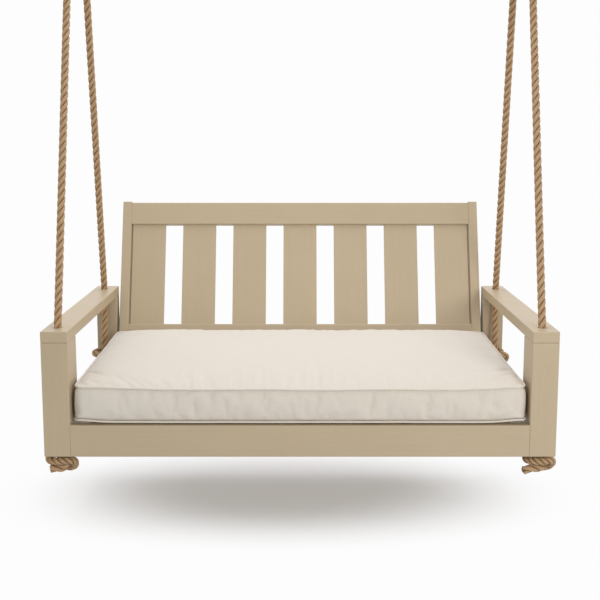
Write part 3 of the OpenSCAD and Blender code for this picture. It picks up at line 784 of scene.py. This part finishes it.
def cushion_cover():
    """The cover before it is filled: its points and faces, its seams' points, and how
    many points each of its two panels has."""
    outline = plan_outline(0.0, 0.022)
    wide, deep = COLUMNS + 1, ROWS + 1
    plan = panel(outline)
    edge = edge_indices()
    reach = np.minimum(HALF_W - np.abs(plan[:, 0]), HALF_D - np.abs(plan[:, 1]))
    inner = np.clip(reach / CROWN_REACH, 0, 1)
    top = np.column_stack([plan, seam_height(plan[:, 0], plan[:, 1])
                           + CROWN * (1 - (1 - inner) ** 3)])
    # The underside draws in under the bottom seam and lies on the deck from there. Its
    # corners lift a little.
    base = panel(plan_outline(-0.002, 0.024))
    corner = np.hypot(HALF_W - np.abs(base[:, 0]), HALF_D - np.abs(base[:, 1]))
    seam = BOTTOM_SEAM + BOTTOM_LIFT * np.exp(-(corner / LIFT_REACH) ** 2)
    bottom = np.column_stack([base, UNDERSIDE + (seam - UNDERSIDE)
                              * np.clip(1 - reach / UNDER_REACH, 0, 1) ** 1.6])
    points = [top, bottom]
    count = len(top)
    faces = lattice_faces(deep, wide) + [f[::-1] for f in lattice_faces(deep, wide, count)]
    out = outward(outline)
    low, high = bottom[edge], top[edge]
    for b in range(1, BANDS):
        share = b / BANDS
        swell = (BULGE * math.sin(math.pi * share) ** 0.6 + LOW_BULGE * (b == 1)
                 - TOP_PINCH * (b == BANDS - 1))
        ring = low + share * (high - low)
        ring[:, :2] += swell * out
        points.append(ring)
    rings = [[count + e for e in edge],
             *([2 * count + b * len(edge) + k for k in range(len(edge))]
               for b in range(BANDS - 1)),
             edge]
    for below, above in zip(rings, rings[1:]):
        for k in range(len(edge)):
            m = (k + 1) % len(edge)
            faces.append([below[k], below[m], above[m], above[k]])
    return np.concatenate(points), faces, rings[-1] + rings[0], count


def sewn_unevenly(points):
    """The cover's points, with seams that sewing has left a little uneven."""
    waver = np.column_stack([
        0.0016 * ripple(points, 0.12, 7.0), 0.0016 * ripple(points, 0.12, 9.0),
        0.0034 * ripple(points, 0.22, 3.0) + 0.0010 * ripple(points, 0.06, 5.0)])
    lift = np.clip(points[:, 2] / 0.05, 0.15, 1)
    lift[points[:, 2] < 0.002] = 0
    return points + waver * lift[:, None]


def fill_cover(piece, held, furthest):
    """Blows the cover up like a filled cushion, with Blender's cloth, and keeps its shape."""
    scene = bpy.context.scene
    before = read_vectors(piece.data)
    group = piece.vertex_groups.new(name="held")
    group.add(held, 1.0, "REPLACE")
    cloth = piece.modifiers.new("filling", "CLOTH")
    for setting, value in {
            "quality": 6, "mass": 0.3, "tension_stiffness": 12, "compression_stiffness": 12,
            "shear_stiffness": 4, "bending_stiffness": 0.6, "use_pressure": True,
            "uniform_pressure_force": 4.0, "vertex_group_mass": "held",
            "shrink_min": -0.02}.items():
        setattr(cloth.settings, setting, value)
    cloth.settings.effector_weights.gravity = 0
    cloth.collision_settings.use_collision = False
    for number in range(1, FILL_FRAMES + 1):
        scene.frame_set(number)
    filled = piece.evaluated_get(bpy.context.evaluated_depsgraph_get())
    after = read_vectors(filled.to_mesh())
    filled.to_mesh_clear()
    piece.modifiers.remove(cloth)
    piece.vertex_groups.remove(group)
    scene.frame_set(1)
    move = after - before
    far = np.linalg.norm(move, axis=1, keepdims=True)
    move *= np.tanh(far / furthest) * furthest / np.maximum(far, 1e-9)
    move_points(piece.data, before + move)


def pull_folds(points, count):
    """Depths of the soft folds that the filling pulls across the band, at its points."""
    dice = random.Random(23)
    depth = np.zeros(len(points))
    half = HALF_W, HALF_D
    rise = (points[:, 2] - BOTTOM_SEAM) / (FRONT_SEAM - BOTTOM_SEAM)
    # The front, the back, the left and the right side
    for axis, sign in ((1, -1), (1, 1), (0, -1), (0, 1)):
        at_side = sign * points[:, axis] > half[axis] - 0.02
        along, reach = points[:, 1 - axis], half[1 - axis]
        for _ in range(round(2 * reach / FOLD_SPACING)):
            middle, width = dice.uniform(-reach, reach), dice.uniform(0.006, 0.012)
            lean, deep = dice.uniform(-0.035, 0.035), dice.uniform(-0.0062, 0.0018)
            low, high = dice.uniform(-0.1, 0.5), dice.uniform(0.6, 1.15)
            fade = np.clip((rise - low) / 0.25, 0, 1) * np.clip((high - rise) / 0.25, 0, 1)
            shape = np.exp(-((along - middle - lean * (rise - 0.5)) / width) ** 2)
            depth += np.where(at_side, deep * shape * fade, 0)
    return np.where(np.arange(len(points)) >= 2 * count, depth, 0)


def puckered(mesh, seams, count):
    """The filled cover's points with its puckers and folds, kept clear of the posts."""
    at, normals = read_vectors(mesh), read_vectors(mesh, "normal")
    # Small puckers run from the seams across the cloth and die out within a hand
    to_x, to_y = np.abs(HALF_W - np.abs(at[:, 0])), np.abs(HALF_D - np.abs(at[:, 1]))
    fade = np.exp(-np.minimum(to_x, to_y) / 0.045)
    squeezed = at * np.where((to_y < to_x)[:, None], [[1, 0.22, 0.3]], [[0.22, 1, 0.3]])
    depth = (0.0013 * ripple(squeezed, 0.018, 13.0)
             + 0.0018 * ripple(squeezed, 0.045, 17.0)) * (0.12 + fade)
    depth[2 * count:] *= 0.35
    depth += pull_folds(at, count)
    depth[seams] = 0
    depth[at[:, 2] < 0.004] = 0
    at = at + depth[:, None] * normals
    over = np.maximum(np.abs(at[:, 0]) - HALF_W, 0)
    at[:, 0] -= np.sign(at[:, 0]) * (over - SIDE_BULGE * np.tanh(over / SIDE_BULGE))
    return at


def round_off(piece):
    """Lets Blender round a sewn piece off."""
    rounder = piece.modifiers.new("rounder", "SUBSURF")
    rounder.levels = rounder.render_levels = 1


class SWINGBED_OT_seat_cushion(bpy.types.Operator):
    """Makes the boxed seat cushion, filled and wrinkled, with piping along its seams"""

    bl_idname = "swingbed.seat_cushion"
    bl_label = "Seat cushion"

    def execute(self, context):
        look = context.scene.swing_bed_cushion
        canvas = woven_canvas()
        points, faces, seams, count = cushion_cover()
        cushion = build_mesh("cushion_cover", sewn_unevenly(points), faces, canvas)
        fill_cover(cushion, sorted({*seams, *range(count, 2 * count)}), look.swell)
        at = puckered(cushion.data, seams, count)
        shift = in_row([[0, CUSHION_Y, DECK_Z]])[0]
        move_points(cushion.data, at + shift)
        round_off(cushion)
        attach(cushion, "cushion")
        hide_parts("seat_cushion")
        edge = np.array(edge_indices())
        out = np.column_stack([outward(at[edge][:, :2]), np.zeros(len(edge))])
        # Along the front and back, where the band bulges most, it stands out further
        for name, ring, aside, forward, rise in (
                ("top", at[edge], 0.0022, 0.0030, 0.0004),
                ("bottom", at[count + edge], 0.0040, 0.0085, -0.0014)):
            self.pipe(f"piping_{name}", ring + out * (aside, forward, 0) + (0, 0, rise) + shift,
                      look.piping, canvas)
        return {"FINISHED"}

    def pipe(self, name, ring, diameter, canvas):
        """A closed tube of bias-cut canvas along a ring of points."""
        way = unit(np.roll(ring, -1, axis=0) - np.roll(ring, 1, axis=0))
        across = unit(np.cross(way, [0.0, 0.0, 1.0]))
        radius = diameter / 2 * (1 + 0.05 * ripple(ring, 0.02, 21.0))
        turn = np.linspace(0, math.tau, PIPE_SIDES, endpoint=False)
        tube = around(ring, across, np.cross(across, way), turn[None, :], radius[:, None])
        piece = build_mesh(name, tube.reshape(-1, 3), lattice_faces(
            len(ring), PIPE_SIDES, wrap=True, closed=True), canvas)
        round_off(piece)
        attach(piece, "cushion")


# ------------------------------------------------------------------ timber and steel


# Places of the deck's screws: across a slat, and from its ends
SCREW_PITCH, END_DISTANCE = 0.052, 0.010
SCREW_SIDES = 24


def coat(names, material):
    """Puts a material on CAD nodes, through their objects' own slots."""
    for name in names:
        piece = NODES[name]
        if not piece.material_slots:
            piece.data.materials.append(None)
        for number in range(len(piece.material_slots)):
            piece.material_slots[number].link = "OBJECT"
            piece.material_slots[number].material = material


class SWINGBED_OT_painted_timber(bpy.types.Operator):
    """Paints the boards, with the grain along each of them"""

    bl_idname = "swingbed.painted_timber"
    bl_label = "Painted timber"

    def execute(self, context):
        upright = painted_pine("painted_pine_upright", (0, 0, 0))
        across = painted_pine("painted_pine_across", (0, math.radians(90), 0))
        back = painted_pine("painted_pine_front_to_back", (math.radians(90), 0, 0))
        leaning = painted_pine("painted_pine_leaning", (BACK_LEAN, 0, 0))
        sides = ("left", "right")
        coat([f"{n}_{s}" for n in ("front_post", "rear_post_inner", "rear_post_outer")
              for s in sides], upright)
        coat(["front_rail", "rear_rail", "centre_rail", "front_cleat", "rear_cleat",
              "back_top_rail", "back_bottom_rail"], across)
        coat([f"{n}_{s}" for n in ("arm_cap", "side_rail") for s in sides]
             + [n for n in NODES if n.startswith("deck_slat_")], back)
        coat([f"back_stile_{s}" for s in sides]
             + [n for n in NODES if n.startswith("back_slat_")], leaning)
        return {"FINISHED"}


class SWINGBED_OT_end_slats(bpy.types.Operator):
    """Makes the end slats of the back, which close the groove beside the stiles behind"""

    bl_idname = "swingbed.end_slats"
    bl_label = "End slats"

    def execute(self, context):
        look = context.scene.swing_bed_timber
        material = bpy.data.materials["painted_pine_leaning"]
        through = np.array([0.0, math.cos(BACK_LEAN), -math.sin(BACK_LEAN)])
        for side, hand, node in ((-1, "left", "back_slat_1"), (1, "right", "back_slat_7")):
            board = NODES[node].data
            points = np.array([v.co for v in board.vertices])
            depth = points @ through
            behind = (depth - depth.min()) / np.ptp(depth)
            reach = side * points[:, 0]
            points[:, 0] += np.where(reach > reach.max() - 0.0005, side * look.lap * behind, 0)
            slat = build_mesh(f"end_slat_{hand}", points,
                              [list(face.vertices) for face in board.polygons], material,
                              smooth=False)
            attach(slat, "swing")
            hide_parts(node)
        return {"FINISHED"}


class SWINGBED_OT_steel_fittings(bpy.types.Operator):
    """Gives the brackets, bolts, spacers and thimbles their zinc plating"""

    bl_idname = "swingbed.steel_fittings"
    bl_label = "Steel fittings"

    def execute(self, context):
        coat([f"{n}_{s}" for n in ("hanger_bracket", "hanging_bolt") for s in ("left", "right")]
             + ["eye_spacers", "rope_thimbles", "back_bolts", "back_spacers"], zinc_plate())
        return {"FINISHED"}


class SWINGBED_OT_deck_screws(bpy.types.Operator):
    """Makes the countersunk screws that hold the deck slats"""

    bl_idname = "swingbed.deck_screws"
    bl_label = "Deck screws"

    def execute(self, context):
        radius = context.scene.swing_bed_timber.screw / 2
        steel = bpy.data.materials.get("zinc_plated_steel") or zinc_plate()
        turn = np.linspace(0, math.tau, SCREW_SIDES, endpoint=False)
        # A head from its rim to the bottom of its recess: shares of its radius, heights
        rings = [(1.0, -0.0004), (1.0, 0.0004), (0.86, 0.0007), (0.34, 0.0008), (0.34, -0.001)]
        head = np.array([(share * radius * math.cos(a), share * radius * math.sin(a), z)
                         for share, z in rings for a in turn])
        heads, faces = [], []
        for name in sorted(n for n in NODES if n.startswith("deck_slat_")):
            low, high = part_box(name)
            x, y = (low[0] + high[0]) / 2, (low[1] + high[1]) / 2
            for at_y in (low[1] + END_DISTANCE, y - 0.001, high[1] - END_DISTANCE):
                for at_x in (x - SCREW_PITCH / 2, x + SCREW_PITCH / 2):
                    start = len(heads) * len(head)
                    heads.append(head + (at_x, at_y, high[2]))
                    faces += lattice_faces(len(rings), SCREW_SIDES, start, wrap=True)
                    faces.append([*range(start + len(head) - SCREW_SIDES, start + len(head))])
        screws = build_mesh("deck_screws", np.concatenate(heads), faces, steel, smooth=False)
        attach(screws, "swing")
        return {"FINISHED"}


# ------------------------------------------------------------------ stage


# The point on the seat that both lamps look at
LAMPS_AIM = (0, 0.1, -1.6)
# The floor's radius, and how many rings and spokes its mesh has
FLOOR_R, FLOOR_RINGS, FLOOR_SPOKES = 9.0, 24, 96


class SWINGBED_OT_stage(bpy.types.Operator):
    """Sets up the camera, the white floor and the soft lamps"""

    bl_idname = "swingbed.stage"
    bl_label = "Stage"

    def execute(self, context):
        scene = context.scene
        look = scene.swing_bed_stage
        scene.view_settings.view_transform = "Standard"
        camera = bpy.data.objects.new("camera", bpy.data.cameras.new("camera"))
        camera.location = (0, -look.camera_back, -look.camera_drop)
        camera.rotation_euler = (look.tilt, 0, 0)
        camera.data.lens = look.lens
        camera.data.sensor_width = 36
        camera.data.clip_end = 60
        scene.collection.objects.link(camera)
        scene.camera = camera
        self.light_room(scene, look)
        self.lay_floor(look)
        return {"FINISHED"}

    def light_room(self, scene, look):
        """A white room all round, a lamp in front and to the right, a cool one overhead."""
        world = bpy.data.worlds.new("white_room")
        world.use_nodes = True
        tree = world.node_tree
        tree.nodes.clear()
        rays = add(tree, "LightPath").outputs
        seen = rays["Is Camera Ray"]
        for name in ("Is Glossy Ray", "Is Transmission Ray"):
            seen = calc(tree, "MAXIMUM", seen, rays[name])
        # The camera and reflections see plain white; what is lit gets the room's strength
        lit = add(tree, "Background", {"Color": grey(1.0), "Strength": look.fill})
        white = add(tree, "Background", {"Color": linear("#FDFDFD"), "Strength": 1.0})
        both = add(tree, "MixShader", {0: seen, 1: lit.outputs[0], 2: white.outputs[0]})
        add(tree, "OutputWorld", {"Surface": both.outputs[0]})
        scene.world = world
        for name, place, size, power, tint in (
                ("key_lamp", (2.15, -4.0, -0.30), 1.6, look.key, "#FFFFFF"),
                ("top_lamp", (0.0, 1.0, 1.5), 3.0, look.top, "#F5F5FF")):
            lamp = bpy.data.lights.new(name, "AREA")
            lamp.shape = "DISK"
            lamp.size = size
            lamp.energy = power
            lamp.color = linear(tint)[:3]
            holder = bpy.data.objects.new(name, lamp)
            holder.location = place
            aim = Vector(LAMPS_AIM) - Vector(place)
            holder.rotation_euler = aim.to_track_quat("-Z", "Y").to_euler()
            scene.collection.objects.link(holder)

    def lay_floor(self, look):
        """A round white floor that keeps the shadow and melts into the white behind it."""
        material, tree = new_material("white_floor")
        # It melts away over an oval round the shadow
        place = mapped(tree, add(tree, "TexCoord").outputs["Object"],
                       Location=(0.074, -0.25, 0), Scale=(0.92, 1.65, 1))
        far = add(tree, "VectorMath", {0: place}, operation="LENGTH").outputs["Value"]
        edge = between(tree, far, 0.35, 1.15)
        to_camera = add(tree, "LightPath").outputs["Is Camera Ray"]
        floor = add(tree, "BsdfDiffuse", {"Color": look.floor})
        glow = add(tree, "Emission", {"Color": grey(1.0), "Strength": look.glow})
        near = add(tree, "AddShader", {0: floor.outputs[0], 1: glow.outputs[0]})
        white = add(tree, "Emission", {"Color": linear("#FDFDFD"), "Strength": 1.0})
        seen = add(tree, "MixShader", {0: edge, 1: near.outputs[0], 2: white.outputs[0]})
        bounce = add(tree, "BsdfDiffuse", {"Color": grey(0.70)})
        finish_material(tree, add(tree, "MixShader", {
            0: to_camera, 1: bounce.outputs[0], 2: seen.outputs[0]}))
        points = [(0, 0, 0)] + [
            (r * math.cos(a), r * math.sin(a), 0)
            for r in np.linspace(0, FLOOR_R, FLOOR_RINGS + 1)[1:]
            for a in np.linspace(0, math.tau, FLOOR_SPOKES, endpoint=False)]
        fan = [[0, 1 + k, 1 + (k + 1) % FLOOR_SPOKES] for k in range(FLOOR_SPOKES)]
        floor_piece = build_mesh("studio_floor", points, fan + lattice_faces(
            FLOOR_RINGS, FLOOR_SPOKES, 1, wrap=True), material, smooth=False)
        floor_piece.location = (0, 0, -look.floor_drop)


class SWINGBED_PT_panel(bpy.types.Panel):
    """Lists the swing bed's pieces with their sizes and colours"""

    bl_idname = "SWINGBED_PT_panel"
    bl_label = "Swing bed"
    bl_space_type = "VIEW_3D"
    bl_region_type = "UI"
    bl_category = "Swing bed"

    def draw(self, context):
        for group, (_, operators) in GROUPS.items():
            box = self.layout.box()
            settings = getattr(context.scene, group)
            for name in settings.bl_rna.properties.keys():
                if name not in ("rna_type", "name"):
                    box.prop(settings, name)
            for operator in operators:
                box.operator(operator)


# The scene's settings by name: their class, and the operators that read them
GROUPS = {
    "swing_bed_stage": (SwingBedStage, ("swingbed.stage",)),
    "swing_bed_ropes": (SwingBedRopes, ("swingbed.front_ropes", "swingbed.rear_ropes")),
    "swing_bed_cushion": (SwingBedCushion, ("swingbed.seat_cushion",)),
    "swing_bed_timber": (SwingBedTimber, ("swingbed.painted_timber", "swingbed.end_slats",
                                          "swingbed.deck_screws")),
    "swing_bed_steel": (SwingBedSteel, ("swingbed.steel_fittings",)),
}
CLASSES = (
    *(group for group, _ in GROUPS.values()),
    SWINGBED_OT_stage, SWINGBED_OT_front_ropes, SWINGBED_OT_rear_ropes,
    SWINGBED_OT_seat_cushion, SWINGBED_OT_painted_timber, SWINGBED_OT_end_slats,
    SWINGBED_OT_steel_fittings, SWINGBED_OT_deck_screws, SWINGBED_PT_panel,
)


def register():
    for made in CLASSES:
        bpy.utils.register_class(made)
    for name, (group, _) in GROUPS.items():
        setattr(bpy.types.Scene, name, bpy.props.PointerProperty(type=group))


def unregister():
    for name in GROUPS:
        delattr(bpy.types.Scene, name)
    for made in reversed(CLASSES):
        bpy.utils.unregister_class(made)


def main():
    """Makes everything in order."""
    register()
    bpy.ops.swingbed.stage()
    bpy.ops.swingbed.front_ropes()
    bpy.ops.swingbed.rear_ropes()
    bpy.ops.swingbed.seat_cushion()
    bpy.ops.swingbed.painted_timber()
    bpy.ops.swingbed.end_slats()
    bpy.ops.swingbed.steel_fittings()
    bpy.ops.swingbed.deck_screws()


if __name__ == "__main__":
    main()
